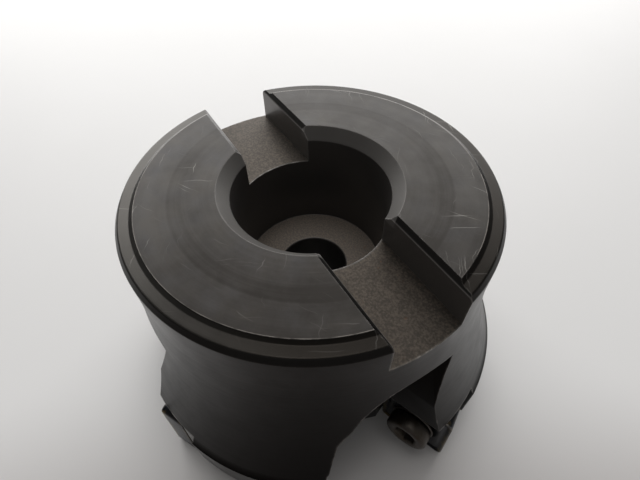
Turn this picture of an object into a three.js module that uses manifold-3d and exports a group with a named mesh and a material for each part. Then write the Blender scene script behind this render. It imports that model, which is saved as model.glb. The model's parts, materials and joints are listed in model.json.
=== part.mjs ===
// Shell-type face mill with four screw-on inserts, in millimetres.
// +Z is the spindle axis and points to the machine. The lowest insert corners stand on z = 0.
// The drive slot runs along X. Seen from above the cutter turns clockwise, so every rake face
// looks towards falling angles.
import * as THREE from 'three';
import { mergeVertices } from 'three/addons/utils/BufferGeometryUtils.js';
import Module from 'manifold-3d';

const wasm = await Module();
wasm.setup();

// ---------------------------------------------------------------- driving dimensions

const TOP = 50;                 // arbor face above the insert corners
const GAP = 0.3;                // room kept between two pieces that touch

const BODY = {
  bottom: 2,                    // body face above the insert corners
  landRadius: 38,
  landBottom: 5,
  landTop: 15,
  landStep: 0.4,                // the land stands proud of the flare by this
  chamfer: 3,                   // at the bottom of the land
  neckRadius: 31.2,
  neckTop: 49.1,
  flareTop: 45.4,
  bossRadius: 28.3,             // raised annulus that meets the arbor
  bossStep: 0.4,
  rimRadius: 30.7,
};

const BORE = {
  radius: 13.5,                 // 27 mm pilot
  mouthRadius: 15.5,
  mouthDepth: 2,
  seat: 28,                     // where the pilot bore ends
  screwRadius: 6.5,             // clears the arbor screw
  headRadius: 11,               // counterbore for that screw's head
  headTop: 17,
  dishRadius: 21,
  dishTop: 5,
  dishFlare: 2,                 // the dish opens by this much towards its mouth
};

const SLOT = { width: 12.8, floor: 43.2, bevel: 0.8 };

const STATIONS = 4;

const GULLET = {
  floor: 26,                    // distance from the axis at which its flat floor crosses X
  floorTilt: 0.36,              // the floor is square to the rake-side wall
  reference: 33,                // distance at which its outline is drawn
  outside: 46,
  rakeSplay: 0.4,               // sideways run of the rake-side wall per mm outwards
  backSplay: -0.58,             // the same for the trailing wall
  rakeEdge: 2,                  // where along the outline the rake-side splay holds
  backEdge: -20,                // and where the trailing one does
};

const INSERT = {
  width: 14.2,
  height: 15.875,
  thickness: 4.76,
  cornerRadius: 1.2,
  holeRadius: 3.1,
  sinkRadius: 5.1,
  sinkDepth: 2.1,
  land: 0.3,                    // flat strip along the cutting edges
  groove: { from: 1, to: 1.7, depth: 0.35 },
  floorDepth: 0.1,              // the middle of the rake face lies this far below the edges
  lean: 4,                      // degrees, its sides make a parallelogram
  flankInset: 0.5,              // the flanks draw in by this over the thickness
  radialRake: 21,               // degrees, outer end trailing
  axialRake: 0.5,               // degrees, lower end trailing
  dish: 1,                      // degrees, inner end of the face edge raised
  cornerX: 38.6,                // outer lower corner of the rake face
  cornerY: 6.7,
};

const SHIM = { trim: 0.7, thickness: 3.2, cornerRadius: 1.6, counterbore: 1.8 };

const SLEEVE = {
  flangeRadius: 4.1,
  flange: 1.4,
  sunk: 0.1,                    // the flange lies this far below the shim's face
  tubeRadius: 3.4,
  length: 9,
  boreRadius: 2.8,
  edge: 0.4,
};

const SCREW = {
  shankRadius: 2.5,             // M5
  length: 15,
  headRadius: 4.25,
  headHeight: 2.9,
  edge: 0.5,                    // chamfer at the tip and round the head
  hexAcrossFlats: 4,
  hexDepth: 2.2,
};

const WASHER = { radius: 4.4, rim: 0.4, tipRadius: 3.2 };

const LEAN = Math.tan(THREE.MathUtils.degToRad(INSERT.lean));
const FINE = 96;                // facets round the body
const SMALL = 28;               // facets round a small piece

// ---------------------------------------------------------------- solids and meshes

function toSolid(geometry) {
  const bare = geometry.index ? geometry.toNonIndexed() : geometry.clone();
  for (const name of Object.keys(bare.attributes)) {
    if (name !== 'position') bare.deleteAttribute(name);
  }
  const merged = mergeVertices(bare, 1e-4);
  return new wasm.Manifold(new wasm.Mesh({
    numProp: 3,
    vertProperties: new Float32Array(merged.attributes.position.array),
    triVerts: new Uint32Array(merged.index.array),
  }));
}

function toGeometry(solid) {
  const mesh = solid.getMesh();
  const geometry = new THREE.BufferGeometry();
  geometry.setAttribute('position', new THREE.BufferAttribute(mesh.vertProperties, 3));
  geometry.setIndex(new THREE.BufferAttribute(mesh.triVerts, 1));
  geometry.computeVertexNormals();
  return geometry;
}

// A solid of revolution about +Z from [radius, z] points.
function turned(profile, facets) {
  const points = profile.map(([radius, z]) => new THREE.Vector2(radius, z));
  const lathe = new THREE.LatheGeometry(points, facets);
  return toSolid(lathe.rotateX(Math.PI / 2));
}

// A solid whose skin runs through a list of equal-length loops of points. With `closed` the last
// loop joins the first, as round a hole; otherwise both ends are capped.
function lofted(loops, closed) {
  const count = loops[0].length;
  const position = loops.flat().flatMap((point) => [point.x, point.y, point.z]);
  const index = [];
  const last = closed ? loops.length : loops.length - 1;
  for (let ring = 0; ring < last; ring += 1) {
    const here = ring * count;
    const there = ((ring + 1) % loops.length) * count;
    for (let k = 0; k < count; k += 1) {
      const next = (k + 1) % count;
      index.push(here + k, here + next, there + next);
      index.push(here + k, there + next, there + k);
    }
  }
  if (!closed) {
    const outline = loops[0].map((point) => new THREE.Vector2(point.y, point.z));
    const end = (loops.length - 1) * count;
    for (const [a, b, c] of THREE.ShapeUtils.triangulateShape(outline, [])) {
      index.push(a, c, b);
      index.push(end + a, end + b, end + c);
    }
  }
  const geometry = new THREE.BufferGeometry();
  geometry.setAttribute('position', new THREE.Float32BufferAttribute(position, 3));
  geometry.setIndex(index);
  return toSolid(geometry);
}

function material(color, roughness, metalness) {
  return new THREE.MeshStandardMaterial({ color, roughness, metalness });
}

function named(name, solid, finish) {
  const mesh = new THREE.Mesh(toGeometry(solid), finish);
  mesh.name = name;
  return mesh;
}

// ---------------------------------------------------------------- the insert's own frame

// Local x runs outwards along the rake face, local y up along it, and local z out of it.
// The origin is the middle of the rake face.
function seatFrame() {
  const turn = THREE.MathUtils.degToRad;
  const upright = new THREE.Matrix4().makeRotationX(Math.PI / 2);
  const radial = new THREE.Matrix4().makeRotationZ(turn(INSERT.radialRake));
  const axial = new THREE.Matrix4().makeRotationX(turn(INSERT.axialRake));
  const dish = new THREE.Matrix4().makeRotationZ(turn(-INSERT.dish));
  const frame = radial.multiply(upright).multiply(axial).multiply(dish);
  const down = INSERT.height / 2;
  const out = INSERT.width / 2 + down * LEAN;
  const corner = new THREE.Vector3(out, -down, 0).applyMatrix4(frame);
  return frame.setPosition(INSERT.cornerX - corner.x, INSERT.cornerY - corner.y, -corner.z);
}

const SEAT = seatFrame();

function seated(solid) {
  return solid.transform(SEAT.elements);
}

// ---------------------------------------------------------------- cutter body

function flarePoints(steps) {
  const fall = BODY.flareTop - BODY.landTop;
  const grow = BODY.landRadius - BODY.landStep - BODY.neckRadius;
  const arc = (fall * fall + grow * grow) / (2 * grow);
  const points = [];
  for (let k = 0; k <= steps; k += 1) {
    const down = fall * (1 - k / steps);
    points.push([BODY.neckRadius + arc - Math.sqrt(arc * arc - down * down), BODY.flareTop - down]);
  }
  return points;
}

function bodyBlank() {
  const profile = [
    [BORE.dishRadius, BODY.bottom],
    [BODY.landRadius - BODY.chamfer, BODY.bottom],
    [BODY.landRadius, BODY.landBottom],
    [BODY.landRadius, BODY.landTop - BODY.landStep],
    ...flarePoints(10),
    [BODY.neckRadius, BODY.neckTop],
    [BODY.rimRadius, TOP - BODY.bossStep],
    [BODY.bossRadius, TOP - BODY.bossStep],
    [BODY.bossRadius, TOP],
    [BORE.mouthRadius, TOP],
    [BORE.radius, TOP - BORE.mouthDepth],
    [BORE.radius, BORE.seat],
    [BORE.screwRadius, BORE.seat],
    [BORE.screwRadius, BORE.headTop],
    [BORE.headRadius, BORE.headTop],
    [BORE.headRadius, BORE.dishTop],
    [BORE.dishRadius - BORE.dishFlare, BORE.dishTop],
    [BORE.dishRadius, BODY.bottom],
  ];
  return turned(profile, FINE);
}

// The drive slot, right across the arbor end, with a bevel along both top edges.
function slotCut() {
  const half = SLOT.width / 2;
  const above = 2;              // how far the cut reaches over the arbor face
  const shape = new THREE.Shape();
  shape.moveTo(-half, SLOT.floor);
  shape.lineTo(half, SLOT.floor);
  shape.lineTo(half, TOP - SLOT.bevel);
  shape.lineTo(half + SLOT.bevel + above, TOP + above);
  shape.lineTo(-half - SLOT.bevel - above, TOP + above);
  shape.lineTo(-half, TOP - SLOT.bevel);
  const length = 2 * GULLET.outside;
  const bar = new THREE.ExtrudeGeometry(shape, { depth: length, bevelEnabled: false });
  bar.rotateX(Math.PI / 2).rotateZ(Math.PI / 2).translate(-length / 2, 0, 0);
  return toSolid(bar);
}

// The gullet's outline at the reference distance: u runs round the body, z up.
function gulletOutline() {
  const shape = new THREE.Shape();
  shape.moveTo(2.2, -2);
  shape.lineTo(2.2, 16);
  shape.lineTo(2.6, 23.8);
  shape.lineTo(7.4, 34.4);
  shape.quadraticCurveTo(0, 37, -5, 34.9);
  shape.quadraticCurveTo(-9.2, 32.8, -11.8, 28.4);
  shape.lineTo(-17.1, 17.4);
  shape.quadraticCurveTo(-20.4, 10.5, -21.5, -2);
  return shape.getPoints(6);
}

// The outline fans out from the floor, the plane x = start + tilt * y, to the same kind of plane
// outside the body.
function gulletLoop(start, tilt) {
  const { reference, rakeEdge, backEdge, rakeSplay, backSplay } = GULLET;
  return gulletOutline().map((point) => {
    const share = THREE.MathUtils.clamp((rakeEdge - point.x) / (rakeEdge - backEdge), 0, 1);
    const splay = THREE.MathUtils.lerp(rakeSplay, backSplay, share);
    const x = (start + tilt * (point.x - splay * reference)) / (1 - tilt * splay);
    return new THREE.Vector3(x, point.x + splay * (x - reference), point.y);
  });
}

function gulletCut() {
  return lofted([gulletLoop(GULLET.floor, GULLET.floorTilt), gulletLoop(GULLET.outside, 0)], false);
}

// The pocket behind the rake face, with the tapped hole for the sleeve.
function pocketCut() {
  const depth = INSERT.thickness + SHIM.thickness + 3 * GAP;
  const reach = 12;             // the pocket is open outwards, downwards and to the front
  const holeLength = SLEEVE.length - SHIM.thickness + 1;
  const lap = 2;                // the hole starts inside the pocket
  const width = INSERT.width + 2 * GAP + reach;
  const height = INSERT.height + 2 * GAP + reach;
  const box = new THREE.BoxGeometry(width, height, depth + reach);
  box.translate(reach / 2, -reach / 2, (reach - depth) / 2);
  box.applyMatrix4(new THREE.Matrix4().makeShear(0, 0, -LEAN, 0, 0, 0));
  const holeRadius = SLEEVE.tubeRadius + GAP;
  const hole = new THREE.CylinderGeometry(holeRadius, holeRadius, holeLength + lap, SMALL);
  hole.rotateX(Math.PI / 2).translate(0, 0, lap - depth - (holeLength + lap) / 2);
  return seated(toSolid(box).add(toSolid(hole)));
}

function cutterBody() {
  let body = bodyBlank().subtract(slotCut());
  const station = gulletCut().add(pocketCut());
  for (let k = 0; k < STATIONS; k += 1) {
    body = body.subtract(station.rotate([0, 0, (360 * k) / STATIONS]));
  }
  return body;
}

// ---------------------------------------------------------------- station pieces, local frame

// A loop round the insert's leaning outline, drawn in by `inset`, with rounded corners, at height z.
function plateLoop(inset, radius, z) {
  const halfWidth = INSERT.width / 2 - inset - radius;
  const halfHeight = INSERT.height / 2 - inset - radius;
  const perCorner = SMALL / 4;
  const loop = [];
  for (let k = 0; k < SMALL; k += 1) {
    const corner = Math.floor(k / perCorner);
    const angle = (Math.PI / 2) * (corner + (k % perCorner) / (perCorner - 1));
    const x = halfWidth * (corner === 0 || corner === 3 ? 1 : -1) + radius * Math.cos(angle);
    const y = halfHeight * (corner < 2 ? 1 : -1) + radius * Math.sin(angle);
    loop.push(new THREE.Vector3(x - y * LEAN, y, z));
  }
  return loop;
}

function roundLoop(radius, z) {
  const perCorner = SMALL / 4;
  const loop = [];
  for (let k = 0; k < SMALL; k += 1) {
    const corner = Math.floor(k / perCorner);
    const angle = (Math.PI / 2) * (corner + ((k % perCorner) + 0.5) / perCorner);
    loop.push(new THREE.Vector3(radius * Math.cos(angle), radius * Math.sin(angle), z));
  }
  return loop;
}

// Insert with a honed land, a chip groove and a countersunk hole.
function insertSolid() {
  const { cornerRadius, flankInset, thickness, holeRadius, sinkRadius, sinkDepth } = INSERT;
  const { land, groove, floorDepth } = INSERT;
  const innerRadius = cornerRadius / 2;
  return lofted([
    plateLoop(flankInset, cornerRadius, -thickness),
    plateLoop(0, cornerRadius, 0),
    plateLoop(land, cornerRadius - land, 0),
    plateLoop(groove.from, innerRadius, -groove.depth),
    plateLoop(groove.to, innerRadius, -floorDepth),
    roundLoop(sinkRadius, -floorDepth),
    roundLoop(holeRadius, -sinkDepth),
    roundLoop(holeRadius, -thickness),
  ], true);
}

function shimSolid() {
  const top = -INSERT.thickness - GAP;
  const bottom = top - SHIM.thickness;
  return lofted([
    plateLoop(SHIM.trim, SHIM.cornerRadius, bottom),
    plateLoop(SHIM.trim, SHIM.cornerRadius, top),
    roundLoop(SLEEVE.flangeRadius + GAP, top),
    roundLoop(SLEEVE.flangeRadius + GAP, top - SHIM.counterbore),
    roundLoop(SLEEVE.tubeRadius + GAP, top - SHIM.counterbore),
    roundLoop(SLEEVE.tubeRadius + GAP, bottom),
  ], true);
}

// Hollow threaded sleeve: its flange holds the shim and its bore takes the insert screw.
function sleeveSolid() {
  const { flangeRadius, flange, sunk, tubeRadius, length, boreRadius, edge } = SLEEVE;
  const top = -INSERT.thickness - GAP - sunk;
  return turned([
    [boreRadius, top - length],
    [tubeRadius - edge, top - length],
    [tubeRadius, top - length + edge],
    [tubeRadius, top - flange],
    [flangeRadius, top - flange],
    [flangeRadius, top],
    [boreRadius, top],
    [boreRadius, top - length],
  ], SMALL);
}

// Taper washer that centres the screw in the insert's countersink.
function washerSolid() {
  const { radius, rim, tipRadius } = WASHER;
  const slope = (INSERT.sinkRadius - INSERT.holeRadius) / (INSERT.sinkDepth - INSERT.floorDepth);
  const drop = (radius - tipRadius) / slope;
  const bore = SCREW.shankRadius + GAP;
  return turned([
    [bore, GAP - drop],
    [tipRadius, GAP - drop],
    [radius, GAP],
    [radius, GAP + rim],
    [bore, GAP + rim],
    [bore, GAP - drop],
  ], SMALL);
}

function screwSolid() {
  const { shankRadius, length, headRadius, headHeight, edge, hexAcrossFlats, hexDepth } = SCREW;
  const under = 2 * GAP + WASHER.rim;
  const top = under + headHeight;
  const body = turned([
    [0, under - length],
    [shankRadius - edge, under - length],
    [shankRadius, under - length + edge],
    [shankRadius, under],
    [headRadius, under],
    [headRadius, top - edge],
    [headRadius - edge, top],
    [0, top],
  ], SMALL);
  const cornerRadius = hexAcrossFlats / Math.sqrt(3);
  const hex = new THREE.CylinderGeometry(cornerRadius, cornerRadius, hexDepth * 2, 6);
  const mouth = new THREE.CylinderGeometry(cornerRadius + edge, cornerRadius - edge, 2 * edge, SMALL);
  hex.rotateX(Math.PI / 2).translate(0, 0, top);
  mouth.rotateX(Math.PI / 2).translate(0, 0, top + edge / 5);
  return body.subtract(toSolid(hex)).subtract(toSolid(mouth));
}

// ---------------------------------------------------------------- assembly

const blackOxide = material(0x2b2a29, 0.45, 0.8);
const carbide = material(0x4a5160, 0.35, 0.7);
const ground = material(0x6f6c66, 0.4, 0.85);
const screwSteel = material(0x3d3b38, 0.45, 0.85);

const mill = new THREE.Group();
mill.add(named('cutter_body', cutterBody(), blackOxide));

const pieces = [
  ['insert', insertSolid(), carbide],
  ['shim', shimSolid(), ground],
  ['shim_sleeve', sleeveSolid(), screwSteel],
  ['taper_washer', washerSolid(), screwSteel],
  ['insert_screw', screwSolid(), screwSteel],
];

for (let k = 0; k < STATIONS; k += 1) {
  const station = new THREE.Group();
  station.rotation.z = (2 * Math.PI * k) / STATIONS;
  for (const [name, solid, finish] of pieces) {
    station.add(named(`${name}_${k + 1}`, seated(solid), finish.clone()));
  }
  mill.add(station);
}

export default mill;
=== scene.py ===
# %% [markdown]
# # A face mill, finished in cells
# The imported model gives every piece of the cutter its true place. This lesson keeps those places
# and makes each piece again with a finer skin: turned skins for round work, lofted skins for the
# inserts, and cuts for the slot, the chip gullets and the insert pockets. The frame comes first,
# because all places are read from it. Its box is kept, so that the finished model can be held
# against it.

# %% Load the frame
import json
import math
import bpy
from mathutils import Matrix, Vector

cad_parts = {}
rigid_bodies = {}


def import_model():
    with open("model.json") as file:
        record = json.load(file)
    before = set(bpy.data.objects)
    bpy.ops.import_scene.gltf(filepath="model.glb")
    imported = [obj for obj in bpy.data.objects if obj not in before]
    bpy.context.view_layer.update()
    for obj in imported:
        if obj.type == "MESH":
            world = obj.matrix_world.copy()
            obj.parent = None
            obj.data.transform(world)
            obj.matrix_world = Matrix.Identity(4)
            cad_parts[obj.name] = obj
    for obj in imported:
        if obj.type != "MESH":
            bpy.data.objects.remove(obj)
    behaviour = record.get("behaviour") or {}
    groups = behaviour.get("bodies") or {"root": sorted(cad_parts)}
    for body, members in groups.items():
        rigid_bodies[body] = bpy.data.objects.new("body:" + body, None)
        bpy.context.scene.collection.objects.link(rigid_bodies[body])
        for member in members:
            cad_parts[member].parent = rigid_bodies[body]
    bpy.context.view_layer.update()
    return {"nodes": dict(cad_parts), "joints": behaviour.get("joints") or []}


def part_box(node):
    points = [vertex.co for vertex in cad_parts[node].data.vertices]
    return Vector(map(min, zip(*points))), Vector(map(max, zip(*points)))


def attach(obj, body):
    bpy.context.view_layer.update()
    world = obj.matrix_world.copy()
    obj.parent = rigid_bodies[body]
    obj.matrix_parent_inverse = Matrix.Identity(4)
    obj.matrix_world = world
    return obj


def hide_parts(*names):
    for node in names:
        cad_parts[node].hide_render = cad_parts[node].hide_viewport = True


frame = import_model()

from types import SimpleNamespace

import bpy
import numpy as np
from mathutils import Matrix, Vector

MM = 0.001
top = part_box("cutter_body")[1].z / MM
turns = [joint for joint in frame["joints"] if joint["type"] == "hinge"]
print(f"{len(frame['nodes'])} nodes, {len(turns)} insert stations, arbor face at {top:.1f} mm")

# %% [markdown]
# ## The camera
# The cutter is looked at from close by and from fairly high up, so a wide lens shows the arbor
# face large and the cutting end small. The camera starts on a sphere round the middle of the
# arbor face. It then pans, tilts and rolls a little, as a camera held in the hand does. Each of
# these is a turn of its own axes, worked out with Rodrigues' formula.

# %% Place the camera
AZIMUTH = math.radians(60.7)
ELEVATION = math.radians(41.86)
DISTANCE = 69.4
LENS = 23.59
SENSOR = 36
PAN, TILT, ROLL = -0.0173, -0.1401, 0.037


def turned_about(vector, axis, angle):
    """The vector times the cosine, plus axis x vector times the sine, plus its share along the axis."""
    along = axis * axis.dot(vector) * (1 - math.cos(angle))
    return vector * math.cos(angle) + axis.cross(vector) * math.sin(angle) + along


def place_camera():
    """Sets up a level camera on its sphere, then pans about up, tilts about right and rolls."""
    level = math.cos(ELEVATION)
    back = Vector((math.sin(AZIMUTH) * level, -math.cos(AZIMUTH) * level, math.sin(ELEVATION)))
    right = Vector((math.cos(AZIMUTH), math.sin(AZIMUTH), 0))
    up = back.cross(right)
    place = (Vector((0, 0, top)) + back * DISTANCE) * MM
    back, right = turned_about(back, up, PAN), turned_about(right, up, PAN)
    back, up = turned_about(back, right, TILT), turned_about(up, right, TILT)
    right, up = turned_about(right, -back, ROLL), turned_about(up, -back, ROLL)
    data = bpy.data.cameras.new("camera")
    data.lens = LENS
    data.sensor_width = SENSOR
    data.clip_start = 5 * MM
    camera = bpy.data.objects.new("camera", data)
    camera.matrix_world = Matrix([*zip(right, up, back, place), (0, 0, 0, 1)])
    bpy.context.scene.collection.objects.link(camera)
    bpy.context.scene.camera = camera
    return place / MM


print("camera at", [round(v, 1) for v in place_camera()], "mm")

# %% [markdown]
# ## Skins from grids
# Every piece here is a skin over a grid: rows of points, each row a loop of the same length. One
# function joins such loops into quads, closes or caps the ends, and turns the faces outwards by
# the sign of the volume that they enclose. Working on whole arrays keeps it fast and short.

# %% Make a mesh from loops of points


def loop_faces(rows, columns, wrap):
    """Quads between each row and the next, and each column and the next, round and round."""
    row = np.arange(rows if wrap else rows - 1)[:, None]
    column = np.arange(columns)[None, :]
    here, below = row * columns, (row + 1) % rows * columns
    beside = (column + 1) % columns
    corners = (here + column, here + beside, below + beside, below + column)
    return np.stack(corners, -1).reshape(-1, 4)


def volume(points, faces):
    """One sixth of the sum, over the two triangles of each quad, of a . (b x c)."""
    a, b, c, d = (points[faces[:, k]] for k in range(4))
    fan = np.einsum("ij,ij->i", a, np.cross(b, c)) + np.einsum("ij,ij->i", a, np.cross(c, d))
    return fan.sum() / 6


def skin(name, loops, wrap=True):
    """An object from loops of points in mm. Loops either join in a ring or are capped at both ends."""
    rows, columns = loops.shape[:2]
    points = loops.reshape(-1, 3)
    faces = loop_faces(rows, columns, wrap)
    caps = [] if wrap else [np.arange(columns)[::-1], np.arange(columns) + (rows - 1) * columns]
    centred = points - points.mean(0)
    if volume(centred, faces) < 0:
        faces = faces[:, ::-1]
        caps = [cap[::-1] for cap in caps]
    mesh = bpy.data.meshes.new(name)
    mesh.from_pydata((points * MM).tolist(), [], faces.tolist() + [cap.tolist() for cap in caps])
    mesh.update()
    piece = bpy.data.objects.new(name, mesh)
    bpy.context.scene.collection.objects.link(piece)
    return piece


def smooth(piece, sharp_above=30):
    """Shades the faces smooth and keeps the edges sharper than the given angle in degrees."""
    piece.data.shade_smooth()
    piece.data.set_sharp_from_angle(angle=math.radians(sharp_above))
    return piece


print("three rows of four points, closed in a ring, make", len(loop_faces(3, 4, True)), "quads")

# %% [markdown]
# ## Profiles with rounded corners
# A lathe leaves no true corner: each edge is broken with a small radius. So a profile is a list of
# corners with a radius for each, and the arc that touches both sides of a corner is found by
# formula. Two more points just outside each arc keep the shading of the flats flat.

# %% Round and revolve a profile
HOLD = 0.04


def rounded(corners, steps=4):
    """The closed profile through corners (r, z, radius), each turned into an arc.

    The arc's centre lies on the line that halves the corner, radius / sin(half angle) away, and
    it touches the sides radius / tan(half angle) from the corner."""
    corner = np.array(corners, float)
    point, radius = corner[:, :2], corner[:, 2:]
    before, after = np.roll(point, 1, 0) - point, np.roll(point, -1, 0) - point
    before /= np.linalg.norm(before, axis=1, keepdims=True)
    after /= np.linalg.norm(after, axis=1, keepdims=True)
    half = np.arccos(np.clip((before * after).sum(1, keepdims=True), -1, 1)) / 2
    middle = before + after
    middle /= np.maximum(np.linalg.norm(middle, axis=1, keepdims=True), 1e-9)
    centre = point + middle * radius / np.sin(half)
    reach = radius / np.tan(half)
    start, stop = point + before * reach - centre, point + after * reach - centre
    sweep = np.maximum(np.pi - 2 * half, 1e-6)[:, None]
    share = np.linspace(0, 1, steps + 1)[None, :, None]
    arc = start[:, None] * np.sin((1 - share) * sweep) + stop[:, None] * np.sin(share * sweep)
    arc = centre[:, None] + arc / np.sin(sweep)
    hold = HOLD * (radius > 0)
    lead = (centre + start + before * hold)[:, None]
    tail = (centre + stop + after * hold)[:, None]
    points = np.concatenate([lead, arc, tail], 1).reshape(-1, 2)
    apart = np.linalg.norm(points - np.roll(points, 1, 0), axis=1) > 1e-5
    return points[apart]


def spaced(profile, step):
    """The same closed profile with each side cut into equal parts no longer than step."""
    side = np.roll(profile, -1, 0) - profile
    parts = np.ceil(np.linalg.norm(side, axis=1) / step).astype(int)
    owner = np.repeat(np.arange(len(profile)), parts)
    first = np.repeat(np.cumsum(parts) - parts, parts)
    share = (np.arange(parts.sum()) - first) / parts[owner]
    return profile[owner] + share[:, None] * side[owner]


def revolved(profile, around):
    """Loops round Z: each profile point (r, z) becomes r cos a, r sin a, z."""
    angle = np.linspace(0, 2 * np.pi, around, endpoint=False)
    radius, height = profile[:, :1], profile[:, 1:]
    flat = np.zeros(around)
    return np.stack([radius * np.cos(angle), radius * np.sin(angle), height + flat], -1)


print("a broken corner has", len(rounded([(0, 0, 1), (4, 0, 1), (4, 4, 1), (0, 4, 1)])) // 4, "points")

# %% [markdown]
# ## The turned body
# The real body is turned from a bar: a land round the cutting end, a long hollow flare up to the
# neck, a low step round the raised arbor face, and the pilot bore with its seat and screw hole.
# The flare is one arc that leaves the neck upright, so its radius follows from how far it falls
# and how far it grows. One closed profile carries all of it.

# %% Turn the blank
FLARE = {"top": 45.4, "neck": 31.2, "bottom": 15, "land": 37.6}


def flare(steps=24):
    """Arc points from the land up to the neck, r = neck + R - sqrt(R^2 - drop^2)."""
    fall = FLARE["top"] - FLARE["bottom"]
    grow = FLARE["land"] - FLARE["neck"]
    arc = (fall**2 + grow**2) / (2 * grow)
    drop = fall * (1 - np.linspace(0, 1, steps))
    radius = FLARE["neck"] + arc - np.sqrt(arc**2 - drop**2)
    return np.stack([radius, FLARE["top"] - drop, np.zeros(steps)], 1).tolist()


blank_corners = [
    (21, 2, 0.3), (35, 2, 0.4), (38, 5, 0.4), (38, 14.6, 0.12), *flare(),
    (31.2, 48.7, 0.4), (30.6, 49.58, 0.4), (28.9, 49.62, 0.4), (28.36, 49.9, 0.08), (28.26, 50, 0.08),
    (15.5, 50, 0.25), (13.5, 48, 0.3), (13.5, 28, 0.15), (6.5, 28, 0.35), (6.5, 17, 0.2),
    (11, 17, 0.3), (11, 5, 0.3), (19, 5, 0.3),
]
blank_profile = spaced(rounded(blank_corners), 2.5)
body = skin("mill_body", revolved(blank_profile, 256))
print(f"blank: {len(blank_profile)} rings, {len(body.data.polygons)} faces")

# %% [markdown]
# ## Cuts
# The slot, the gullets and the pockets are milled out of the blank. Each cutter is a closed skin
# too, and a Boolean modifier takes it away. The slot is one bar with a bevel along both edges. A
# gullet is an outline that fans out from a flat floor: its side near the insert leans one way and
# its trailing side the other.

# %% Shape the slot and the gullets
STATIONS = len(turns)
SLOT = {"half": 6.4, "floor": 43.2, "bevel": 0.8}
GULLET = {"reference": 33, "rake_edge": 2, "back_edge": -20, "rake_splay": 0.4, "back_splay": -0.58}
GULLET_FLOOR = (26, 0.36)       # start and tilt of its plane
REACH = 46


def cutter_slot():
    """The slot's section, swept along X right through the body."""
    half, bevel, over = SLOT["half"], SLOT["bevel"], 2
    side = np.array([(half, SLOT["floor"]), (half, top - bevel), (half + bevel + over, top + over)])
    section = np.concatenate([side, side[::-1] * (-1, 1)])
    across = np.broadcast_to(section, (2, *section.shape))
    length = np.broadcast_to(np.array([-REACH, REACH])[:, None, None], (2, len(section), 1))
    return skin("slot_cut", np.concatenate([length, across], -1), wrap=False)


def quadratic(start, pull, stop, steps=10):
    """Points on the curve (1 - t)^2 start + 2 t (1 - t) pull + t^2 stop, without its start."""
    t = np.linspace(0, 1, steps + 1)[1:, None]
    start, pull, stop = np.array(start), np.array(pull), np.array(stop)
    return (1 - t) ** 2 * start + 2 * t * (1 - t) * pull + t**2 * stop


def gullet_outline():
    """The gullet seen from outside: along the body and up, at the reference distance."""
    brow, crown, shoulder = (7.4, 34.4), (-5, 34.9), (-11.8, 28.4)
    foot = (-17.1, 17.4)
    return np.concatenate([
        [(2.2, -2), (2.2, 16), (2.6, 23.8), brow],
        quadratic(brow, (0, 37), crown),
        quadratic(crown, (-9.2, 32.8), shoulder),
        [foot],
        quadratic(foot, (-20.4, 10.5), (-21.5, -2)),
    ])


def cutter_gullet(turn):
    """The outline on the floor, x = start + tilt y, and on a plane outside, joined by straight lines."""
    along, height = gullet_outline().T
    share = np.clip((GULLET["rake_edge"] - along) / (GULLET["rake_edge"] - GULLET["back_edge"]), 0, 1)
    splay = GULLET["rake_splay"] * (1 - share) + GULLET["back_splay"] * share
    loops = []
    for start, tilt in (GULLET_FLOOR, (REACH, 0)):
        x = (start + tilt * (along - splay * GULLET["reference"])) / (1 - tilt * splay)
        y = along + splay * (x - GULLET["reference"])
        loops.append(np.stack([x * math.cos(turn) - y * math.sin(turn),
                               x * math.sin(turn) + y * math.cos(turn), height], -1))
    return skin("gullet_cut", np.array(loops), wrap=False)


print("gullet outline of", len(gullet_outline()), "points")

# %% [markdown]
# ## The insert's seat
# Each insert leans, so its seat has a frame of its own, read from the axis of the insert's screw.
# The origin is the middle of the rake face. The pocket behind it holds the insert and its shim,
# with a small relief in the inner corner and a hole for the sleeve.

# %% Read the seats from the screw axes
INSERT = {"width": 14.2, "height": 15.875, "thickness": 4.76, "corner": 1.2, "inset": 0.5,
          "hole": 3.1, "sink": 5.1, "sink_depth": 2.1}
SHIM = {"trim": 0.7, "thickness": 3.2, "corner": 1.6}
GAP = 0.3
POCKET = INSERT["thickness"] + SHIM["thickness"] + 3 * GAP
RELIEF = {"radius": 1.3, "depth": 0.2}
SLEEVE_HOLE = {"radius": 3.7, "depth": 6.8}
LEAN = math.tan(math.radians(4))
DISH = math.radians(1)


def seat_axes(joint):
    """Origin and axes of a rake face: out along it, up along it, and out of it."""
    normal = Vector(joint["axis"]).normalized()
    level = Vector((0, 0, 1)).cross(normal).normalized()
    rise = normal.cross(level)
    out = level * math.cos(DISH) - rise * math.sin(DISH)
    up = rise * math.cos(DISH) + level * math.sin(DISH)
    return np.array(joint["pos_m"]) / MM, np.array([out, up, normal])


def seated(loops, joint):
    """Loops in a seat's own frame, carried to the body: origin + x out + y up + z normal."""
    origin, axes = seat_axes(joint)
    return loops @ axes + origin


def cutter_pocket(joint):
    """A leaning box, open outwards, downwards and to the front, as deep as insert and shim."""
    far = 12
    left, right = -INSERT["width"] / 2 - GAP, INSERT["width"] / 2 + GAP + far
    bottom, ceiling = -INSERT["height"] / 2 - GAP - far, INSERT["height"] / 2 + GAP
    section = np.array([(left, bottom), (right, bottom), (right, ceiling), (left, ceiling)])
    leaning = section - section[:, 1:] * (LEAN, 0)
    loops = np.stack([np.column_stack([leaning, np.full(4, z)]) for z in (-POCKET, far)])
    return skin("pocket_cut", seated(loops, joint), wrap=False)


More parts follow.
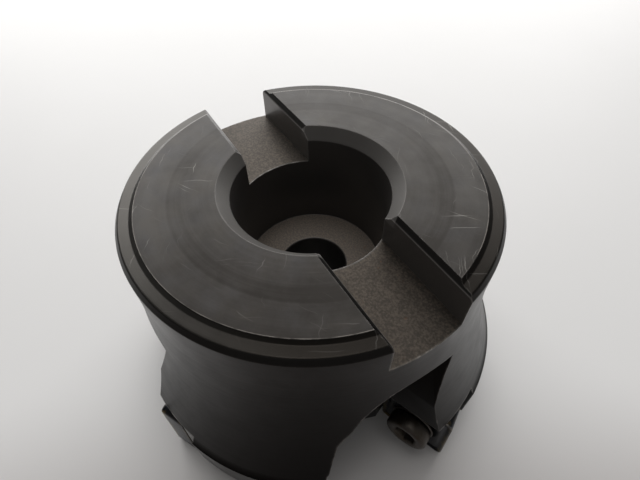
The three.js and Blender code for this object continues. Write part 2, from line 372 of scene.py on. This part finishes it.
def cutter_drill(joint, x, y, radius, deep, high):
    """A round hole along the seat's normal."""
    angle = np.linspace(0, 2 * np.pi, 48, endpoint=False)
    ring = np.stack([x + radius * np.cos(angle), y + radius * np.sin(angle)], -1)
    loops = np.stack([np.column_stack([ring, np.full(len(ring), z)]) for z in (deep, high)])
    return skin("drill_cut", seated(loops, joint), wrap=False)


print("first rake face centre:", np.round(seat_axes(turns[0])[0], 2), "mm")

# %% [markdown]
# ## The cut body
# All cuts go into one list. Then they are taken away one after another, and each result becomes
# the body's mesh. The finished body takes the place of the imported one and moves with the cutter.

# %% Take the cuts away


def subtract(piece, cutters):
    """Cuts every cutter out of the piece with a Boolean modifier and keeps the result as its mesh."""
    for cutter in cutters:
        cut = piece.modifiers.new(cutter.name, "BOOLEAN")
        cut.operation = "DIFFERENCE"
        cut.solver = "EXACT"
        cut.object = cutter
        graph = bpy.context.evaluated_depsgraph_get()
        mesh = bpy.data.meshes.new_from_object(piece.evaluated_get(graph))
        piece.modifiers.clear()
        piece.data = mesh
        bpy.data.objects.remove(cutter)
    return piece


cuts = [cutter_slot()]
for k, joint in enumerate(turns):
    corner = (-INSERT["width"] / 2 - GAP / 2 - LEAN * INSERT["height"] / 2, INSERT["height"] / 2)
    cuts.append(cutter_gullet(2 * math.pi * k / STATIONS))
    cuts.append(cutter_pocket(joint))
    cuts.append(cutter_drill(joint, *corner, RELIEF["radius"], -POCKET - RELIEF["depth"], 4))
    hole_end = -POCKET - SLEEVE_HOLE["depth"]
    cuts.append(cutter_drill(joint, 0, 0, SLEEVE_HOLE["radius"], hole_end, 1 - POCKET))
smooth(subtract(body, cuts))
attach(body, "cutter")
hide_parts("cutter_body")
print(f"cut body: {len(body.data.polygons)} faces")

# %% [markdown]
# ## The pieces of a station
# Four inserts sit round the body, each on a shim. A hollow sleeve screws the shim down, and the
# insert screw goes through a taper washer and the insert into the sleeve. All of them are lofts:
# rows of loops, from a rounded plate outline to a circle or a hexagon. Their loops have the same
# number of points, so the rows join without a seam.

# %% Outlines that join each other
CORNER_STEPS = 12
SIDE_STEPS = 12
LOOP = 4 * (CORNER_STEPS + SIDE_STEPS)


def plate(width, height, radius, z, lean=LEAN):
    """A rectangle with round corners, sheared to a parallelogram, as four arcs and four sides."""
    signs = np.array([(1, 1), (-1, 1), (-1, -1), (1, -1)], float)
    centre = signs * (width / 2 - radius, height / 2 - radius)
    angle = np.linspace(0, np.pi / 2, CORNER_STEPS)[None, :] + np.arange(4)[:, None] * np.pi / 2
    arc = centre[:, None] + radius * np.stack([np.cos(angle), np.sin(angle)], -1)
    share = np.linspace(0, 1, SIDE_STEPS + 2)[1:-1, None]
    side = arc[:, -1:] * (1 - share) + np.roll(arc, -1, 0)[:, :1] * share
    ring = np.concatenate([arc, side], 1).reshape(-1, 2)
    return np.column_stack([ring[:, 0] - lean * ring[:, 1], ring[:, 1], np.full(LOOP, z)])


def circle(radius, z):
    """A circle whose points face those of a plate outline."""
    angle = (np.arange(LOOP) - (CORNER_STEPS - 1) / 2) / LOOP * 2 * np.pi + np.pi / 4
    return np.column_stack([radius * np.cos(angle), radius * np.sin(angle), np.full(LOOP, z)])


def hexagon(across, z, soften=0.0):
    """Distance to a hexagon's side at each angle, a / cos(angle from the side's middle)."""
    angle = (np.arange(LOOP) - (CORNER_STEPS - 1) / 2) / LOOP * 2 * np.pi + np.pi / 4
    off = (angle + np.pi / 6) % (np.pi / 3) - np.pi / 6
    radius = across / 2 / np.cos(off) * (1 - soften) + across / 2 * soften
    return np.column_stack([radius * np.cos(angle), radius * np.sin(angle), np.full(LOOP, z)])


def rings(profile):
    """Circles for each (radius, z) of a profile."""
    return np.stack([circle(radius, z) for radius, z in profile])


print("every loop has", LOOP, "points")

# %% [markdown]
# ## Insert and shim
# An insert is pressed and sintered, so its edges carry a small hone, and its rake face has a chip
# groove behind a narrow land. Its sides draw in towards the back for clearance. The cone of its
# hole centres the taper washer. The shim under it is a plain ground plate.

# %% Loft the inserts and shims


def insert_loops():
    """From the back edge up the flank, over the hone and the groove, and down through the hole."""
    width, height, corner = INSERT["width"], INSERT["height"], INSERT["corner"]
    back, inset = -INSERT["thickness"], INSERT["inset"]
    steps = [
        (inset + 0.15, back), (inset, back + 0.15), (0.02, -0.2), (0, -0.12), (0.035, -0.035),
        (0.12, 0), (0.3, 0), (0.42, -0.03), (0.7, -0.24), (1.0, -0.34), (1.35, -0.24),
        (1.65, -0.11), (1.8, -0.1),
    ]
    outside = [plate(width - 2 * inward, height - 2 * inward, max(corner - 0.5 * inward, 0.5), z)
               for inward, z in steps]
    hole, sink, depth = INSERT["hole"], INSERT["sink"], INSERT["sink_depth"]
    inside = [(sink + 0.12, -0.1), (sink, -0.13), (sink - 0.1, -0.22), (hole + 0.12, -depth + 0.12),
              (hole, -depth - 0.1), (hole, back + 0.2), (hole + 0.2, back)]
    return np.concatenate([np.stack(outside), rings(inside)])


def shim_loops():
    """A plate with broken edges and a counterbore for the sleeve's flange."""
    width, height = INSERT["width"] - 2 * SHIM["trim"], INSERT["height"] - 2 * SHIM["trim"]
    high = -INSERT["thickness"] - GAP
    low = high - SHIM["thickness"]
    steps = [
        (0.25, low), (0.04, low + 0.08), (0, low + 0.25),
        (0, high - 0.25), (0.04, high - 0.08), (0.25, high),
    ]
    outside = [plate(width - 2 * inward, height - 2 * inward, SHIM["corner"], z) for inward, z in steps]
    inside = [(4.5, high), (4.4, high - 0.1), (4.4, high - 1.8), (3.7, high - 1.8), (3.7, low)]
    return np.concatenate([np.stack(outside), rings(inside)])


print("loops in an insert:", len(insert_loops()), "and in a shim:", len(shim_loops()))

# %% [markdown]
# ## Sleeve, washer and screw
# The sleeve is turned, and so is the washer, whose cone sits in the insert's countersink. The
# screw has a round head with a hexagon socket, and its shank carries an M5 thread. The thread is
# a wave on the shank's grid: the radius depends on height / pitch minus the angle's share of a
# turn, so the crest climbs by one pitch per turn. It shows when the screw is backed out.

# %% Loft the screws and their fittings
PITCH = 0.8


def sleeve_loops():
    """A tube with a flange at its top."""
    high = -INSERT["thickness"] - GAP - 0.1
    corners = [(2.8, high - 9, 0.2), (3.4, high - 9, 0.4), (3.4, high - 1.4, 0.05),
               (4.1, high - 1.4, 0.15), (4.1, high, 0.2), (2.8, high, 0.3)]
    return rings(rounded(corners))


def washer_loops():
    """A ring whose underside is a cone with the slope of the insert's countersink."""
    slope = (INSERT["sink"] - INSERT["hole"]) / (INSERT["sink_depth"] - 0.1)
    drop = 1.2 / slope
    corners = [(2.8, GAP - drop, 0.06), (3.2, GAP - drop, 0.06), (4.4, GAP, 0.1),
               (4.4, GAP + 0.4, 0.12), (2.8, GAP + 0.4, 0.06)]
    return rings(rounded(corners))


def threaded(low, high, core, crest):
    """The radius goes up and down between core and crest like a triangle wave of the helix's phase."""
    rows = int((high - low) / PITCH * 10)
    ring = circle(1, 0)
    turn = np.arctan2(ring[:, 1], ring[:, 0]) / (2 * np.pi)
    height = np.linspace(low, high, rows)[:, None]
    wave = np.abs(((height / PITCH - turn) % 1) * 2 - 1)
    fade = np.clip((height - low) / PITCH, 0, 1) * np.clip((high - height) / PITCH, 0, 1)
    radius = core + (crest - core) * wave * fade
    return np.stack([radius * ring[:, 0], radius * ring[:, 1], height + 0 * radius], -1)


def screw_loops():
    """Up the shank, round the head and down into the socket, capped at both ends."""
    seat = 2 * GAP + 0.4
    brow = seat + 2.9
    tip = seat - 15
    shank = rings([(1.6, tip), (2.0, tip + 0.35)])
    thread = threaded(tip + 0.4, seat - 3, 2.05, 2.48)
    head = rings([
        (2.3, seat - 2.9), (2.48, seat - 2.6), (2.48, seat - 0.25), (2.6, seat - 0.06),
        (2.8, seat), (3.85, seat), (4.1, seat + 0.06), (4.22, seat + 0.2), (4.25, seat + 0.4),
        (4.25, brow - 0.75), (4.2, brow - 0.5), (4.05, brow - 0.25), (3.8, brow - 0.07),
        (3.5, brow), (2.72, brow), (2.62, brow - 0.03),
    ])
    socket = [hexagon(4.35, brow - 0.3, 0.4), hexagon(4.0, brow - 0.55), hexagon(4.0, brow - 2.1),
              hexagon(3.9, brow - 2.2)]
    floor = rings([(1.5, brow - 2.35), (0.4, brow - 2.75)])
    return np.concatenate([shank, thread, head, np.stack(socket), floor])


print("loops in a screw:", len(screw_loops()))

# %% [markdown]
# ## Into the stations
# Every kind of piece is set into every station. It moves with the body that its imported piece
# belongs to: inserts, shims and sleeves stay with the cutter, a washer slides, a screw also turns.

# %% Set the pieces into the stations
STATION_PIECES = [
    # node, name, loops, ring, body, slot
    ("insert", "carbide_insert", insert_loops(), True, "cutter", "carbide"),
    ("shim", "ground_shim", shim_loops(), True, "cutter", "shim_steel"),
    ("shim_sleeve", "threaded_sleeve", sleeve_loops(), True, "cutter", "screw_steel"),
    ("taper_washer", "cone_washer", washer_loops(), True, "washer_{}", "screw_steel"),
    ("insert_screw", "socket_screw", screw_loops(), False, "screw_{}", "screw_steel"),
]
station_pieces = {}
for k, joint in enumerate(turns, 1):
    for node, name, loops, ring, rides, slot in STATION_PIECES:
        piece = smooth(skin(f"{name}_{k}", seated(loops, joint), ring), 40)
        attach(piece, rides.format(k))
        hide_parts(f"{node}_{k}")
        station_pieces.setdefault(name, []).append(piece)
print({name: len(pieces[0].data.polygons) for name, pieces in station_pieces.items()})

# %% [markdown]
# ## Shader sums written as sums
# A finish is a graph of nodes. One small class wraps a node's output, so that a sum of two
# outputs adds the Math node by itself, and one method makes every other node: its settings are
# set first, then its inputs are given values or links.

# %% Wrap sockets and graphs


class Socket:
    """One output of a node, with the operators that the finishes use."""

    def __init__(self, graph, output):
        self.graph = graph
        self.output = output

    def maths(self, operation, *operands):
        return self.graph.node("ShaderNodeMath", {"operation": operation}, dict(enumerate(operands)))

    def __add__(self, other):
        return self.maths("ADD", self, other)

    def __radd__(self, other):
        return self.maths("ADD", other, self)

    def __sub__(self, other):
        return self.maths("SUBTRACT", self, other)

    def __rsub__(self, other):
        return self.maths("SUBTRACT", other, self)

    def __mul__(self, other):
        return self.maths("MULTIPLY", self, other)

    def __rmul__(self, other):
        return self.maths("MULTIPLY", other, self)

    def __truediv__(self, other):
        return self.maths("DIVIDE", self, other)

    def __pow__(self, other):
        return self.maths("POWER", self, other)

    def __abs__(self):
        return self.maths("ABSOLUTE", self)

    def fade(self, low, high):
        """Zero at low, one at high, and a smooth step between them."""
        settings = {"interpolation_type": "SMOOTHSTEP"}
        inputs = {"Value": self, "From Min": low, "From Max": high}
        return self.graph.node("ShaderNodeMapRange", settings, inputs)


class Finish:
    """A material's node graph, from its coordinates to its Principled shader."""

    def __init__(self, name):
        self.material = bpy.data.materials.new(name)
        self.material.use_nodes = True
        self.nodes = self.material.node_tree.nodes
        self.links = self.material.node_tree.links
        self.shader = self.nodes["Principled BSDF"]
        self.place = self.node("ShaderNodeTexCoord", output="Object")
        self.x, self.y, self.z = (part * 1000 for part in self.parts(self.place))
        self.radius = (self.x * self.x + self.y * self.y) ** 0.5

    def node(self, kind, settings=None, inputs=None, output=None):
        """Makes a node, sets its settings, then its inputs by name or number, and wraps one output."""
        made = self.nodes.new(kind)
        for key, value in (settings or {}).items():
            setattr(made, key, value)
        for key, value in (inputs or {}).items():
            named = [s for s in made.inputs if s.enabled and s.name == key]
            self.feed(named[0] if named else made.inputs[key], value)
        shown = [s for s in made.outputs if s.enabled and output in (None, s.name)]
        return Socket(self, shown[0])

    def feed(self, socket, value):
        if isinstance(value, Socket):
            self.links.new(value.output, socket)
        else:
            socket.default_value = value

    def parts(self, vector):
        """The three parts of a vector."""
        return [self.node("ShaderNodeSeparateXYZ", {}, {"Vector": vector}, axis) for axis in "XYZ"]

    def mix(self, share, first, second):
        """A colour between two colours."""
        first, second = (c if isinstance(c, Socket) else (*c, 1) for c in (first, second))
        inputs = {"Factor": share, "A": first, "B": second}
        return self.node("ShaderNodeMix", {"data_type": "RGBA"}, inputs)

    def tint(self, colour, amount):
        """A colour times a number."""
        inputs = {0: colour, "Scale": amount}
        return self.node("ShaderNodeVectorMath", {"operation": "SCALE"}, inputs)

    def noise(self, size, detail=3, rough=0.55, seed=0.0, stretch=(1, 1, 1)):
        """Cloudy noise whose blotches are about size mm across, shifted by the seed."""
        scale = tuple(1000 / size / s for s in stretch)
        shift = {"Vector": self.place, "Scale": scale, "Location": (seed,) * 3}
        where = self.node("ShaderNodeMapping", {}, shift)
        inputs = {"Vector": where, "Scale": 1, "Detail": detail, "Roughness": rough}
        return self.node("ShaderNodeTexNoise", {}, inputs)

    def bands(self, along, size, detail=2):
        """Noise that only changes along one measure, as the marks of a lathe tool do."""
        inputs = {"W": along / size, "Scale": 1, "Detail": detail, "Roughness": 0.7}
        return self.node("ShaderNodeTexNoise", {"noise_dimensions": "1D"}, inputs)

    def scratches(self, angle, bend):
        """Hairlines across the arbor face: thin ridges of noise that is long in one direction."""
        moved = self.node("ShaderNodeVectorMath", {"operation": "ADD"}, {0: self.place, 1: bend})
        inputs = {"Vector": moved, "Angle": angle}
        turned = self.node("ShaderNodeVectorRotate", {"rotation_type": "Z_AXIS"}, inputs)
        drawn_out = self.node("ShaderNodeMapping", {}, {"Vector": turned, "Scale": (90, 2600, 1)})
        lines = self.node("ShaderNodeTexNoise", {}, {"Vector": drawn_out, "Scale": 1, "Detail": 1})
        return lines.fade(0.7, 0.76)

    def edges(self, width, inside):
        """High in the creases of the piece, or, with inside set, along its outer edges."""
        settings = {"samples": 6, "inside": inside, "only_local": True}
        inputs = {"Distance": width * MM}
        return 1 - self.node("ShaderNodeAmbientOcclusion", settings, inputs, "AO")

    def wear(self, seed, amount=1.0):
        """Bright rubbed edges, broken up by noise."""
        edge = self.edges(0.35, True).fade(0.12, 0.42)
        return edge * (0.25 + 0.75 * self.noise(1.6, seed=seed).fade(0.45, 0.7)) * amount

    def finish(self, colour, rough, bump, metallic=1.0, strength=0.2, height=0.03, rim=0.12):
        """Sets the shader: colour and roughness, then bump over a normal rounded at the edges."""
        surface = {"Base Color": colour, "Roughness": rough, "Metallic": metallic}
        for key, value in surface.items():
            self.feed(self.shader.inputs[key], value)
        round_edge = self.node("ShaderNodeBevel", {"samples": 4}, {"Radius": rim * MM})
        inputs = {"Height": bump, "Strength": strength, "Distance": height * MM, "Normal": round_edge}
        self.feed(self.shader.inputs["Normal"], self.node("ShaderNodeBump", {}, inputs))
        return self.material


print("finishes read lengths in mm")

# %% [markdown]
# ## Black oxide on turned steel
# The body is blackened steel, its oxide paler towards the top. Its arbor face is rubbed grey by
# many arbors, with rings left by the lathe and a darker ring. Painted light makes the west side
# of the face and the rim lighter and the rim darker elsewhere, and a painted highlight runs along
# the step. The slot and the seat hold brown dust, the bore is dark, and the gullets keep the marks
# of an end mill and are painted near black as shade. Creases get grime and painted shade. Each
# region is a mask worked out from height, from distance to the axis and from the way the surface
# faces, so the borders lie on the geometry.

# %% Finish the body


def body_regions(f):
    """Masks of the arbor face, its rim, the slot, the bore and the gullets, each from 0 to 1."""
    normal = f.parts(f.node("ShaderNodeNewGeometry", output="Normal"))
    level = normal[2].fade(0.9, 0.98)
    sideways = abs(normal[1] * f.x - normal[0] * f.y) / f.radius
    face = f.z.fade(top - 0.2, top - 0.1) * level
    slot = (1 - abs(f.y).fade(6.42, 6.6)) * f.z.fade(43.0, 43.15)
    hollow = (1 - f.radius.fade(13.6, 13.9)) * (1 - f.z.fade(47.9, 48.1))
    return SimpleNamespace(
        level=level,
        face=face,
        rim=f.z.fade(49.5, 49.55) * normal[2].fade(0.6, 0.9) * (1 - face),
        # Painted highlight: a thin band along the outer edge of the arbor face.
        step=f.radius.fade(28.1, 28.2) * (1 - f.radius.fade(28.3, 28.4)) * face,
        mouth=(1 - f.radius.fade(15.5, 15.6)) * f.radius.fade(13.4, 13.5) * f.z.fade(47.9, 48),
        slot=slot,
        slot_floor=slot * level * (1 - f.z.fade(44, 45)),
        slot_side=slot * (1 - level),
        hollow=hollow,
        seat=hollow * level * (1 - f.z.fade(28.5, 29)),
        milled=sideways.fade(0.06, 0.15) * (1 - f.z.fade(38, 39)) * f.radius.fade(21.5, 22),
        # Painted light: a mask that makes the west side of the face and the rim lighter, as painted
        # reflection.
        west=(-0.49 * f.x - 0.87 * f.y).fade(0, 28),
    )


def body_marks(f):
    """Noise in several sizes, and the rings that the lathe tool left."""
    along = f.radius + f.z
    marks = SimpleNamespace(
        cloud=f.noise(14, seed=3),
        smudge=f.noise(4, detail=5, seed=9),
        patch=f.noise(9, detail=6, rough=0.65, seed=33),
        grain=f.noise(0.35, detail=2, seed=5),
        rings=f.bands(along, 0.55, 3),
        fine=f.bands(along, 0.12),
        broad=f.bands(along, 3.1, 1),
    )
    marks.dust = marks.grain.fade(0.35, 0.7)
    marks.tone = 0.8 + marks.cloud * 0.25 + marks.smudge * 0.15 + (marks.rings - 0.5) * 0.12
    return marks


def turned_colour(f, at, marks):
    """Oxide paler upwards and rubbed grey, with painted light on one side and at the step."""
    # The oxide is darker towards the bottom and paler towards the top.
    paler_upwards = 0.3 + 0.5 * f.z.fade(34, 48)
    oxide = f.tint((0.034, 0.0325, 0.031), marks.tone * paler_upwards)
    darker_ring = f.radius.fade(20.6, 21) * (1 - f.radius.fade(23, 23.4))
    # The wear pattern, plus painted light that makes the west side of the face lighter.
    wear_and_side_light = 0.42 + 0.6 * (marks.broad - 0.5) + 1.9 * (marks.patch - 0.5)
    wear_and_side_light = wear_and_side_light + 0.3 * (marks.rings - 0.5) - 0.3 * darker_ring + 0.35 * at.west
    grey = f.mix(marks.smudge, (0.053, 0.048, 0.041), (0.046, 0.046, 0.049))
    rubbed = f.mix(wear_and_side_light, (0.026, 0.024, 0.022), grey)
    colour = f.mix(at.face, oxide, f.tint(rubbed, marks.tone))
    # Painted reflection: the rim is painted dark, and lighter on its west side.
    rim = f.mix(at.west, (0.019, 0.017, 0.015), (0.06, 0.057, 0.053))
    colour = f.mix(at.rim, colour, f.tint(rim, marks.tone))
    # Painted highlight along the step's edge, broken up by noise.
    colour = f.mix(at.step * marks.smudge.fade(0.35, 0.55), colour, (0.13, 0.12, 0.11))
    return f.mix(at.mouth * 0.85, colour, f.tint((0.08, 0.075, 0.07), marks.tone))


def dusty_colour(f, at, marks, colour):
    """Brown dust and flecks of rust on the slot floor and the seat, and paler walls beside them."""
    brown = f.mix(marks.dust, (0.042, 0.037, 0.032), (0.068, 0.056, 0.045))
    colour = f.mix(at.slot_floor * 0.95, colour, brown)
    colour = f.mix(at.slot_side * 0.8, colour, (0.14, 0.13, 0.122))
    colour = f.mix(at.hollow * (1 - at.level), colour, (0.075, 0.07, 0.067))
    colour = f.mix(at.seat * 0.95, colour, f.tint(brown, 4))
    rust = f.noise(0.9, detail=4, seed=21).fade(0.62, 0.7) * f.noise(5, seed=2).fade(0.5, 0.65)
    return f.mix(rust * (at.slot_floor + at.seat) * 0.4, colour, (0.16, 0.07, 0.03))


def black_oxide():
    f = Finish("black_oxide_steel")
    at, marks = body_regions(f), body_marks(f)
    colour = dusty_colour(f, at, marks, turned_colour(f, at, marks))
    # Painted shade: the milled gullet faces are painted near black, darker than the oxide.
    colour = f.mix(at.milled * 0.7, colour, f.tint((0.01, 0.0095, 0.009), marks.tone))
    # Grime and painted shade: the body darkens in its creases and hollows.
    grime_and_shade = f.edges(0.9, False).fade(0.4, 0.7) * 0.35
    colour = f.mix(grime_and_shade, colour, (0.02, 0.018, 0.016))
    bend = f.noise(7, seed=50) * 0.004
    scratch = f.scratches(0.6, bend) + f.scratches(2.1, bend) * 0.7 + f.scratches(-0.5, bend) * 0.7
    scratch = scratch * (0.25 + 0.75 * marks.cloud.fade(0.5, 0.6))
    bright = f.wear(7, 0.6) + scratch * 0.16 * (at.face + at.rim)
    colour = f.mix(bright, colour, (0.42, 0.405, 0.385))

    rough = 0.34 + 0.1 * (marks.cloud - 0.5) + 0.16 * (marks.smudge - 0.5) + 0.1 * (marks.rings - 0.5)
    rough = rough + 0.08 * at.face + 0.16 * (at.slot_floor + at.seat + at.mouth)
    rough = rough - 0.06 * bright + 0.15 * grime_and_shade
    metallic = 1 - 0.2 * at.slot_floor * marks.dust - 0.3 * at.seat - 0.6 * at.hollow
    metallic = metallic - 0.5 * (at.slot_side + at.mouth)
    lathe = (marks.fine * 0.35 + marks.rings * 0.5) * (1 - at.milled) * (1 - at.slot)
    cut_marks = f.bands(f.z + 0.15 * f.radius, 0.5) * at.milled
    relief = lathe + cut_marks + marks.grain * (0.25 + at.slot + at.seat)
    return f.finish(colour, rough, relief, metallic=metallic, strength=0.22)


body.data.materials.append(black_oxide())
print("body finished with", len(body.data.materials[0].node_tree.nodes), "nodes")

# %% [markdown]
# ## Carbide, ground steel and blackened screws
# The inserts are coated carbide: dark and slightly blue, with a straw edge where the coating is
# thin and bright chips along the corner in use. The shims are ground, so fine straight lines run
# across them, and painted shade darkens their creases. Screws, washers and sleeves are blackened
# and greasy, with painted shade in their sockets and creases.

# %% Finish the small pieces


def coated_carbide():
    f = Finish("coated_carbide")
    cloud, grain = f.noise(3, seed=4), f.noise(0.12, detail=2, seed=8)
    colour = f.mix(cloud, (0.014, 0.016, 0.022), (0.024, 0.027, 0.032))
    straw = f.edges(1.1, True).fade(0.05, 0.5) * f.noise(2.5, seed=31).fade(0.35, 0.6)
    colour = f.mix(straw * 0.7, colour, (0.2, 0.15, 0.06))
    colour = f.mix(f.wear(12, 0.8), colour, (0.5, 0.48, 0.45))
    rough = 0.3 + 0.12 * (cloud - 0.5) + 0.2 * (grain - 0.5)
    return f.finish(colour, rough, grain, strength=0.12, height=0.01, rim=0.05)


def ground_steel():
    f = Finish("ground_steel")
    cloud = f.noise(4, seed=6)
    lines = f.noise(0.2, detail=2, seed=14, stretch=(1, 1, 30))
    colour = f.mix(cloud, (0.1, 0.096, 0.09), (0.15, 0.144, 0.132))
    # Painted shade: the shim darkens in its creases.
    colour = f.mix(f.edges(0.8, False).fade(0.1, 0.5), colour, (0.03, 0.027, 0.024))
    colour = f.mix(f.wear(19), colour, (0.5, 0.49, 0.47))
    return f.finish(colour, 0.34 + 0.14 * (lines - 0.5), lines, strength=0.15, height=0.01, rim=0.06)


def black_screw():
    f = Finish("blackened_screw")
    cloud, grain = f.noise(1.5, seed=11), f.noise(0.15, detail=2, seed=12)
    colour = f.mix(cloud, (0.06, 0.052, 0.044), (0.095, 0.083, 0.07))
    grease = f.noise(2.2, detail=4, seed=23).fade(0.5, 0.62)
    colour = f.mix(grease * 0.6, colour, (0.06, 0.045, 0.03))
    # Painted shade: screws, washers and sleeves darken in their sockets and creases.
    colour = f.mix(f.edges(1.2, False).fade(0.15, 0.55) * 0.6, colour, (0.02, 0.017, 0.014))
    colour = f.mix(f.wear(25), colour, (0.45, 0.43, 0.4))
    rough = 0.42 - 0.1 * grease + 0.15 * (grain - 0.5)
    return f.finish(colour, rough, grain, metallic=0.7, strength=0.2, height=0.015, rim=0.06)


screw_finish = black_screw()
finishes = {
    "carbide_insert": coated_carbide(),
    "ground_shim": ground_steel(),
    "threaded_sleeve": screw_finish,
    "cone_washer": screw_finish,
    "socket_screw": screw_finish,
}
for name, pieces in station_pieces.items():
    for piece in pieces:
        piece.data.materials.append(finishes[name])
print(len(bpy.data.materials), "materials")

# %% [markdown]
# ## Floor and light
# Dark metal shows mostly what it mirrors. So the light is one wide soft panel beyond the cutter,
# which the arbor face mirrors to the camera, a weaker one overhead and a dim sky. The near side
# mirrors only the floor, which carries a painted shadow that gets darker and warmer towards the
# camera, so it goes dark too.

# %% Set the floor and the lights


def plain_floor():
    half = 1500
    corners = np.array([(-half, -half), (half, -half), (half, half), (-half, half)], float)
    loop = np.column_stack([corners, np.full(4, -0.05)])
    mesh = bpy.data.meshes.new("floor")
    mesh.from_pydata((loop * MM).tolist(), [], [(0, 1, 2, 3)])
    floor = bpy.data.objects.new("floor", mesh)
    bpy.context.scene.collection.objects.link(floor)
    f = Finish("pale_floor")
    # Painted shadow: the floor gets darker and warmer towards the camera.
    near_shadow = (f.x * math.sin(AZIMUTH) - f.y * math.cos(AZIMUTH)).fade(12, 70)
    colour = f.mix(f.noise(60, detail=4, seed=1), (0.72, 0.717, 0.713), (0.75, 0.747, 0.747))
    colour = f.mix(near_shadow, colour, (0.33, 0.295, 0.285))
    mesh.materials.append(f.finish(colour, 0.55, f.noise(1.5), metallic=0.0, strength=0.05, rim=0.1))


def panel(name, azimuth, elevation, distance, width, height, power, warmth):
    """A rectangular area light on a sphere round the cutter, facing it."""
    a, e = math.radians(azimuth), math.radians(elevation)
    away = Vector((math.sin(a) * math.cos(e), -math.cos(a) * math.cos(e), math.sin(e)))
    data = bpy.data.lights.new(name, "AREA")
    data.shape = "RECTANGLE"
    data.size = width * MM
    data.size_y = height * MM
    data.energy = power
    data.color = warmth
    light = bpy.data.objects.new(name, data)
    light.location = away * distance * MM
    light.rotation_euler = away.to_track_quat("Z", "Y").to_euler()
    bpy.context.scene.collection.objects.link(light)


plain_floor()
FAR = math.degrees(AZIMUTH) + 180
panel("far_panel", FAR, 26, 800, 1400, 900, 12.6, (1.0, 0.995, 0.985))
panel("overhead_panel", FAR, 84, 1200, 600, 600, 3, (1.0, 0.98, 0.96))
world = bpy.data.worlds.new("room")
world.use_nodes = True
world.node_tree.nodes["Background"].inputs["Color"].default_value = (1.0, 0.98, 0.965, 1)
world.node_tree.nodes["Background"].inputs["Strength"].default_value = 0.19
bpy.context.scene.world = world
bpy.context.scene.view_settings.view_transform = "Standard"
print(len(bpy.data.lights), "lights")
